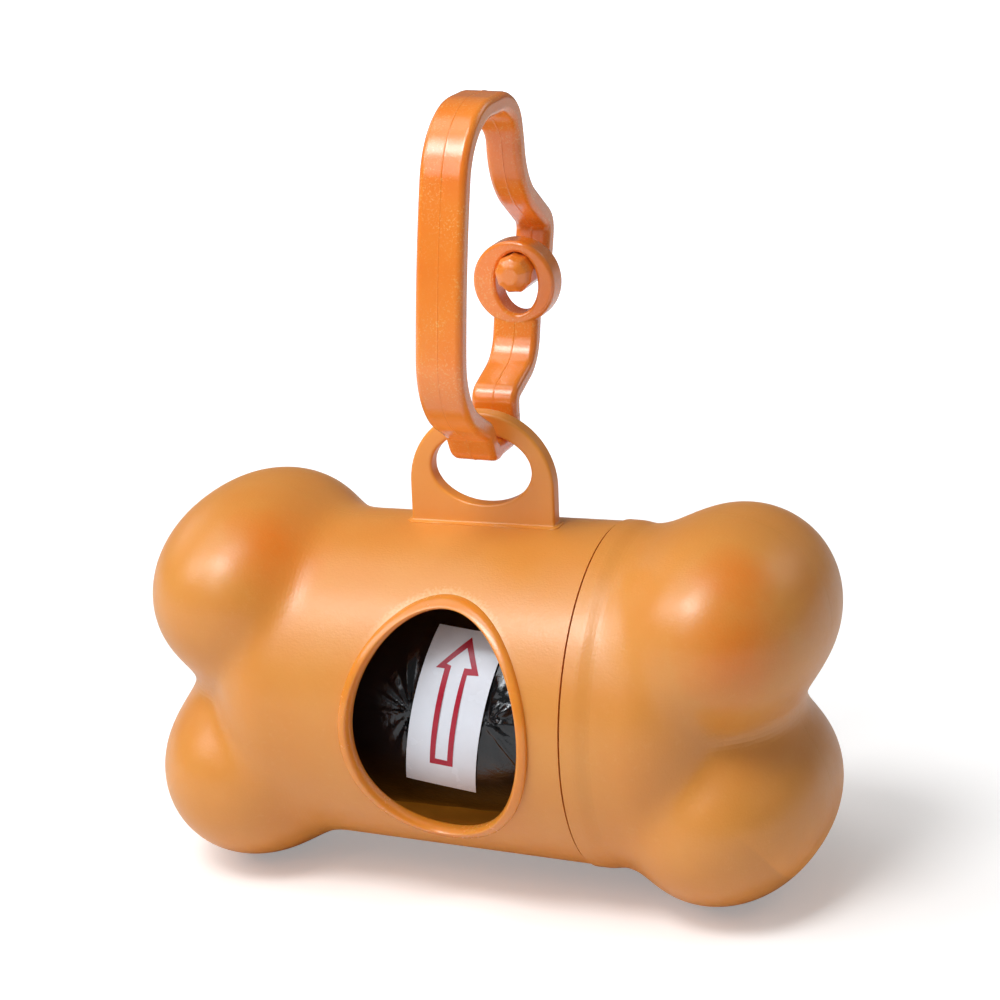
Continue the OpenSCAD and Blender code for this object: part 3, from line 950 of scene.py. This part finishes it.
def sheet_mesh(name, corner_fn, nu, nv, lift, thick):
    """Thin closed sheet on the roll, nu by nv cells, with a slight bow."""
    verts, faces = [], []
    for side in (0, 1):
        for i in range(nu + 1):
            for j in range(nv + 1):
                x, a = corner_fn(i / nu, j / nv)
                bow = 0.05 * math.sin(3.1 * j / nv * math.pi) * math.sin(i / nu * math.pi)
                verts.append(on_roll(x, a, lift + bow + side * thick))
    per = (nu + 1) * (nv + 1)

    def at(i, j, s):
        return s * per + i * (nv + 1) + j

    for i in range(nu):
        for j in range(nv):
            faces.append((at(i, j, 0), at(i + 1, j, 0), at(i + 1, j + 1, 0), at(i, j + 1, 0)))
            faces.append((at(i, j, 1), at(i, j + 1, 1), at(i + 1, j + 1, 1), at(i + 1, j, 1)))
    for i in range(nu):
        faces.append((at(i, 0, 0), at(i, 0, 1), at(i + 1, 0, 1), at(i + 1, 0, 0)))
        faces.append((at(i, nv, 0), at(i + 1, nv, 0), at(i + 1, nv, 1), at(i, nv, 1)))
    for j in range(nv):
        faces.append((at(0, j, 0), at(0, j + 1, 0), at(0, j + 1, 1), at(0, j, 1)))
        faces.append((at(nu, j, 0), at(nu, j, 1), at(nu, j + 1, 1), at(nu, j + 1, 0)))
    ob = to_object(name, to_mesh(name, verts, faces))
    fix_normals(ob.data)
    smooth_by_angle(ob.data, 40)
    return ob


def build_label():
    return sheet_mesh("label_strip", label_point, 10, 60, 0.0, LABEL_THICK)


def build_arrow():
    """Outlined arrow printed on the label, as a closed stroke just above the paper."""
    verts, faces = [], []
    n = len(ARROW_OUT)
    for i in range(n):
        ends = [np.array(t[k % n]) for k in (i, i + 1) for t in (ARROW_OUT, ARROW_IN)]
        cut = 36 if abs(ends[0][1] - ends[2][1]) > 12 else 5
        base = len(verts)
        for c in range(cut + 1):
            for s in (0, 1):
                x, ang = ends[s] + (ends[2 + s] - ends[s]) * c / cut
                verts.append(on_roll(x, ang, INK_LIFT))
        for c in range(cut):
            faces.append((base + 2 * c, base + 2 * c + 1, base + 2 * c + 3, base + 2 * c + 2))
    ob = to_object("label_arrow", to_mesh("label_arrow", verts, faces))
    ob.data.polygons.foreach_set("use_smooth", [True] * len(ob.data.polygons))
    return ob


# ---------------------------------------------------------------- materials
def material(name):
    mat = bpy.data.materials.new(name)
    mat.use_nodes = True
    nt = mat.node_tree
    nt.nodes.clear()
    out = nt.nodes.new("ShaderNodeOutputMaterial")
    bsdf = nt.nodes.new("ShaderNodeBsdfPrincipled")
    nt.links.new(bsdf.outputs[0], out.inputs[0])
    return mat, nt, bsdf


def node(nt, kind, links=None, **values):
    n = nt.nodes.new(kind)
    for key, value in values.items():
        if key in n.inputs:
            n.inputs[key].default_value = value
        else:
            setattr(n, key, value)
    for key, source in (links or {}).items():
        nt.links.new(source, n.inputs[key])
    return n


def where(nt):
    return node(nt, "ShaderNodeTexCoord").outputs["Object"]


def noise(nt, at, scale, detail=3.0, rough=0.5):
    n = node(nt, "ShaderNodeTexNoise", {"Vector": at}, Scale=scale, Detail=detail, Roughness=rough)
    return n.outputs["Fac"]


def remap(nt, value, a, b, c, d):
    n = node(nt, "ShaderNodeMapRange", {"Value": value})
    for key, x in zip(("From Min", "From Max", "To Min", "To Max"), (a, b, c, d)):
        n.inputs[key].default_value = x
    return n.outputs["Result"]


def mix(nt, fac, a, b):
    n = node(nt, "ShaderNodeMix", data_type="RGBA")
    nt.links.new(fac, n.inputs[0])
    for socket, value in ((n.inputs[6], a), (n.inputs[7], b)):
        if isinstance(value, tuple):
            socket.default_value = (*value, 1)
        else:
            nt.links.new(value, socket)
    return n.outputs[2]


def add(nt, a, b, ka=1.0, kb=1.0):
    ma = node(nt, "ShaderNodeMath", {0: a}, operation="MULTIPLY")
    ma.inputs[1].default_value = ka
    mb = node(nt, "ShaderNodeMath", {0: b}, operation="MULTIPLY")
    mb.inputs[1].default_value = kb
    return node(nt, "ShaderNodeMath", {0: ma.outputs[0], 1: mb.outputs[0]}).outputs[0]


def bump(nt, bsdf, height, distance, strength=1.0):
    n = node(nt, "ShaderNodeBump", {"Height": height}, Distance=distance, Strength=strength)
    nt.links.new(n.outputs[0], bsdf.inputs["Normal"])


def sheen_mask(nt, at):
    """Where the painted highlight lies on the raised skin just outside the opening's upper edge."""
    flat = node(nt, "ShaderNodeMapping", {"Vector": at}, vector_type="POINT")
    a, b = (OPEN_A + SHEEN_OUT[0]) * MM, (OPEN_B + SHEEN_OUT[1]) * MM
    flat.inputs["Scale"].default_value = (1 / a, 0, 1 / b)
    flat.inputs["Location"].default_value = (-OPEN_X * MM / a, 0, -(OPEN_Z + AXIS) * MM / b)
    reach = node(nt, "ShaderNodeVectorMath", {0: flat.outputs[0]}, operation="LENGTH")
    streaks = add(nt, reach.outputs["Value"], noise(nt, at, 3000, 5), 1.0, 0.12)
    band = remap(nt, streaks, *SHEEN_START, 0, 1)
    fade = remap(nt, streaks, *SHEEN_END, 1, 0)
    up = node(nt, "ShaderNodeSeparateXYZ", {0: at})
    high = remap(nt, up.outputs["Z"], *((AXIS + z) * MM for z in SHEEN_UP), 0, 0.85)
    front = remap(nt, up.outputs["Y"], *SHEEN_Y, 0, 1)
    for other in (fade, high, front):
        band = node(nt, "ShaderNodeMath", {0: band, 1: other}, operation="MULTIPLY").outputs[0]
    return band


def glow_inside(nt, at, bsdf):
    """Faint glow low on the inside of the tube, for the light that comes through a thin wall."""
    side = node(nt, "ShaderNodeVectorMath", {0: at}, operation="SUBTRACT")
    side.inputs[1].default_value = (0, 0, AXIS * MM)
    flat = node(nt, "ShaderNodeVectorMath", {0: side.outputs[0]}, operation="MULTIPLY")
    flat.inputs[1].default_value = (0, 1, 1)
    reach = node(nt, "ShaderNodeVectorMath", {0: flat.outputs[0]}, operation="LENGTH")
    inside = remap(nt, reach.outputs["Value"], *INSIDE_R, 0, 1)
    patchy = remap(nt, noise(nt, at, 260, 3), 0.3, 0.7, 0.7, 1.15)
    down = node(nt, "ShaderNodeSeparateXYZ", {0: at}).outputs["Z"]
    low = remap(nt, down, *((AXIS - z) * MM for z in THROUGH_DOWN), 0, 1)
    glow = node(nt, "ShaderNodeMath", {0: inside, 1: patchy}, operation="MULTIPLY").outputs[0]
    glow = node(nt, "ShaderNodeMath", {0: glow, 1: low}, operation="MULTIPLY").outputs[0]
    bsdf.inputs["Emission Color"].default_value = (*THROUGH, 1)
    nt.links.new(glow, bsdf.inputs["Emission Strength"])


def moulded_plastic(name, main, deep, pale, rough, grain, soft, lit_through_spots=(), sparkle=0.12,
                    rim_sheen=False, coat=0.0, thin=False, fleck_from=0.57, fleck_scale=1500):
    """Coloured plastic with cloudy tone, fine grain and a little light passing under the skin.

    Spots are (centre, radius, colour) patches of painted light: deeper, richer orange that stands in
    for light scattered in the thin wall beside the highlights. The pale flecks are sparkle strong,
    fleck_scale fine, and rarer the higher fleck_from is. Turning on the band above the opening adds
    a painted highlight on the raised, stretched skin there, and thin the glow inside the wall."""
    mat, nt, bsdf = material(name)
    at = where(nt)
    cloud = remap(nt, noise(nt, at, 75, 3), 0.35, 0.68, 0, 1)
    tone = mix(nt, cloud, main, deep)
    # painted light: each spot deepens the colour where light scattered in the thin wall shows
    for centre, radius, colour in lit_through_spots:
        gap = node(nt, "ShaderNodeVectorMath", {0: at}, operation="SUBTRACT")
        gap.inputs[1].default_value = [c * MM for c in centre]
        reach = node(nt, "ShaderNodeVectorMath", {0: gap.outputs[0]}, operation="LENGTH")
        edge = add(nt, reach.outputs["Value"], noise(nt, at, 260, 4), 1.0, 0.004)
        near = remap(nt, edge, (radius + 3) * MM, (radius * 0.35 + 1) * MM, 0, 0.85)
        tone = mix(nt, near, tone, colour)
    fleck = noise(nt, at, fleck_scale, 3, 0.6)
    fleck = remap(nt, fleck, fleck_from, fleck_from + 0.13, 0, sparkle)
    patchy = remap(nt, noise(nt, at, 180, 2), 0.42, 0.6, 0.15, 1)
    fleck = node(nt, "ShaderNodeMath", {0: fleck, 1: patchy}, operation="MULTIPLY").outputs[0]
    tone = mix(nt, fleck, tone, pale)
    # painted highlight on the raised skin above the opening
    if rim_sheen:
        tone = mix(nt, sheen_mask(nt, at), tone, PAINTED_SHEEN)
    dark = remap(nt, noise(nt, at, 2600, 2), 0.4, 0.62, 0.14, 0)
    tone = mix(nt, dark, tone, deep)
    nt.links.new(tone, bsdf.inputs["Base Color"])
    r = add(nt, noise(nt, at, 160, 3), noise(nt, at, 2200, 2), 0.14, 0.1)
    nt.links.new(remap(nt, r, 0.07, 0.17, rough - 0.05, rough + 0.06), bsdf.inputs["Roughness"])
    bsdf.inputs["IOR"].default_value = PLASTIC_IOR
    bsdf.inputs["Specular IOR Level"].default_value = SHINE_COATED if coat else SHINE
    bsdf.inputs["Coat Weight"].default_value = coat
    bsdf.inputs["Coat Roughness"].default_value = COAT_ROUGH
    bsdf.inputs["Subsurface Weight"].default_value = soft
    bsdf.inputs["Subsurface Radius"].default_value = UNDER_SKIN
    bsdf.inputs["Subsurface Scale"].default_value = UNDER_SKIN_SCALE
    if thin:
        glow_inside(nt, at, bsdf)
    fine = add(nt, noise(nt, at, 3600, 2), noise(nt, at, 480, 3), 0.5, 1.0)
    bump(nt, bsdf, fine, grain)
    return mat


def film_plastic():
    """Black film: glossy, nearly smooth between its folds."""
    mat, nt, bsdf = material("black_film")
    at = where(nt)
    tone = mix(nt, noise(nt, at, 300, 3), FILM_BLACK, FILM_GREY)
    nt.links.new(tone, bsdf.inputs["Base Color"])
    r = remap(nt, noise(nt, at, 420, 4), 0.35, 0.7, 0.13, 0.26)
    nt.links.new(r, bsdf.inputs["Roughness"])
    bsdf.inputs["IOR"].default_value = FILM_IOR
    bsdf.inputs["Specular Tint"].default_value = (*FILM_TINT, 1)
    folds = noise(nt, at, 420, 4, 0.55)
    bump(nt, bsdf, add(nt, folds, noise(nt, at, 2400, 3), 1.0, 0.25), 0.00012)
    return mat


def paper(name, main, deep, rough):
    """Paper, card or ink with a faint cloudy tone and a fine grain."""
    mat, nt, bsdf = material(name)
    at = where(nt)
    tone = mix(nt, noise(nt, at, 700, 4), main, deep)
    nt.links.new(tone, bsdf.inputs["Base Color"])
    nt.links.new(remap(nt, noise(nt, at, 500, 3), 0, 1, rough - 0.06, rough + 0.06),
                 bsdf.inputs["Roughness"])
    bsdf.inputs["Specular Tint"].default_value = (*PAPER_TINT, 1)
    bump(nt, bsdf, noise(nt, at, 2600, 4), 0.00002)
    return mat


def floor_material():
    """Pale floor: the camera sees it near white and it keeps the object's shadow."""
    mat, nt, bsdf = material("pale_floor")
    at = where(nt)
    nt.links.new(mix(nt, noise(nt, at, 4, 2), (0.86, 0.86, 0.86), (0.87, 0.87, 0.87)),
                 bsdf.inputs["Base Color"])
    bsdf.inputs["Roughness"].default_value = 0.9
    bsdf.inputs["Specular IOR Level"].default_value = 0.1
    path = node(nt, "ShaderNodeLightPath")
    reach = node(nt, "ShaderNodeVectorMath", {0: at}, operation="LENGTH").outputs["Value"]
    glow = remap(nt, reach, 0.1, 0.45, FLOOR_GLOW, 0.9)
    seen = node(nt, "ShaderNodeMath", {0: path.outputs["Is Camera Ray"], 1: glow},
                operation="MULTIPLY")
    bsdf.inputs["Emission Color"].default_value = (1, 1, 1, 1)
    nt.links.new(seen.outputs[0], bsdf.inputs["Emission Strength"])
    return mat


def paint(ob, *mats):
    ob.data.materials.clear()
    for m in mats:
        ob.data.materials.append(m)


# ---------------------------------------------------------------- stage
def area_light(name, at, aim, size, power):
    data = bpy.data.lights.new(name, "AREA")
    data.shape = "RECTANGLE"
    data.size, data.size_y = size
    data.energy = power
    ob = to_object(name, data)
    ob.location = at
    ob.rotation_mode = "QUATERNION"
    ob.rotation_quaternion = (Vector(aim) - Vector(at)).to_track_quat("-Z", "Y")


def camera_axes():
    """The camera's right, up and forward directions."""
    a, e, r = (math.radians(t) for t in (CAM_AZ, CAM_EL, CAM_ROLL))
    fw = Vector((-math.sin(a) * math.cos(e), math.cos(a) * math.cos(e), -math.sin(e)))
    right = Vector((math.cos(a), math.sin(a), 0))
    up = right.cross(fw)
    return right * math.cos(r) + up * math.sin(r), up * math.cos(r) - right * math.sin(r), fw


def add_camera():
    right, up, fw = camera_axes()
    data = bpy.data.cameras.new("camera")
    data.sensor_width = SENSOR
    data.lens = CAM_F
    data.clip_start, data.clip_end = 0.02, 20
    ob = to_object("camera", data)
    at = (Vector(CAM_AIM) + Vector((0, 0, AXIS)) - fw * CAM_DIST) * MM
    m = Matrix((right, up, -fw)).transposed().to_4x4()
    m.translation = at
    ob.matrix_world = m
    bpy.context.scene.camera = ob


def place_light(name, turn, lift, size, power):
    """Soft light 1 m from the object: degrees round from the camera to the right, and up."""
    _, _, fw = camera_axes()
    front = math.atan2(-fw.y, -fw.x) + math.radians(turn)
    e = math.radians(lift)
    aim = Vector(LIGHT_AIM)
    at = aim + Vector((math.cos(front) * math.cos(e), math.sin(front) * math.cos(e), math.sin(e)))
    area_light(name, at, aim, size, power)


def build_stage():
    me = bpy.data.meshes.new("floor")
    ring = [(FLOOR_R * math.cos(t), FLOOR_R * math.sin(t), -FLOOR_DROP)
            for t in np.linspace(0, 6.2, 64)]
    me.from_pydata(ring, [], [tuple(range(64))])
    floor = to_object("floor", me)
    paint(floor, floor_material())
    world = bpy.data.worlds.new("studio")
    bpy.context.scene.world = world
    world.use_nodes = True
    nt = world.node_tree
    nt.nodes.clear()
    out = nt.nodes.new("ShaderNodeOutputWorld")
    bg = nt.nodes.new("ShaderNodeBackground")
    nt.links.new(bg.outputs[0], out.inputs[0])
    path = nt.nodes.new("ShaderNodeLightPath")
    level = node(nt, "ShaderNodeMapRange", {"Value": path.outputs["Is Camera Ray"]})
    level.inputs["To Min"].default_value = WORLD_LEVEL
    level.inputs["To Max"].default_value = 1.0
    nt.links.new(level.outputs[0], bg.inputs["Strength"])
    bg.inputs["Color"].default_value = (1, 1, 1, 1)
    for row in LIGHTS:
        place_light(*row)


# ---------------------------------------------------------------- assembly
def main():
    # the body's plastic carries painted light: deeper patches by the knob highlights, a highlight
    # above the opening
    body_mat = moulded_plastic("body_plastic", ORANGE, ORANGE_DEEP, ORANGE_PALE, 0.36, 0.00003, 0.08,
                               BODY_LIT_THROUGH_SPOTS, rim_sheen=True, thin=True)
    clip_mat = moulded_plastic("clip_plastic", CLIP_ORANGE, CLIP_DEEP, CLIP_PALE, 0.22, 0.00003, 0.08,
                               sparkle=0.75, coat=0.85, fleck_from=0.54, fleck_scale=4200)
    # painted light: a lighter copy of the body's plastic, for the tab's upright faces
    tab_lit_mat = moulded_plastic("tab_plastic_lit", TAB_ORANGE_LIT, TAB_DEEP_LIT, ORANGE_PALE, 0.34, 0.00003, 0.08)
    rim_mat = moulded_plastic("rim_plastic", RIM_ORANGE, ORANGE_DEEP, ORANGE_PALE, 0.24, 0.00002, 0.3)
    disc_mat = moulded_plastic("disc_plastic", DISC_WHITE, DISC_GREY, DISC_PALE, 0.4, 0.00002, 0.0)
    film = film_plastic()
    white = paper("label_paper", PAPER_WHITE, PAPER_GREY, 0.26)
    ink = paper("label_ink", INK_RED, INK_DEEP, 0.3)
    board = paper("core_card", CARD, CARD_DEEP, 0.8)

    bone = build_bone()
    plan = [
        (bone["body_front"], "housing", ["body_front_shell"], body_mat, "body_plastic"),
        (bone["rim"], "housing", [], rim_mat, "body_plastic"),
        (bone["body_rear"], "housing", ["body_rear_shell"], body_mat, "body_plastic"),
        (bone["cap_front"], "cap", ["cap_front_shell"], body_mat, "body_plastic"),
        (bone["cap_rear"], "cap", ["cap_rear_shell"], body_mat, "body_plastic"),
        (build_tab(), "housing", ["eyelet_tab"], tab_lit_mat, "body_plastic"),
    ]
    clip, peg, gate = build_clip()
    plan += [
        (clip, "clip", ["clip_frame"], clip_mat, "clip_plastic"),
        (peg, "clip", [], clip_mat, "clip_plastic"),
        (gate, None, ["clip_gate"], clip_mat, "clip_plastic"),
        (build_roll(), "roll", ["bag_roll"], film, "bag_film"),
        (build_label(), "roll", ["paper_label"], white, "label_paper"),
        (build_arrow(), "roll", [], ink, "label_paper"),
    ]
    for ob, body, nodes, mat, slot in plan:
        paint(ob, mat)
        if body:
            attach(ob, body)
        if nodes:
            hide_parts(*nodes)
    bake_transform(gate)
    for name, mat in (("threaded_neck", body_mat), ("cap_thread_sleeve", body_mat),
                      ("roll_stop_disc", disc_mat), ("roll_core", board)):
        paint(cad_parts[name], mat)


main()
build_stage()
add_camera()
bpy.context.scene.view_settings.view_transform = "Standard"
bpy.context.view_layer.update()
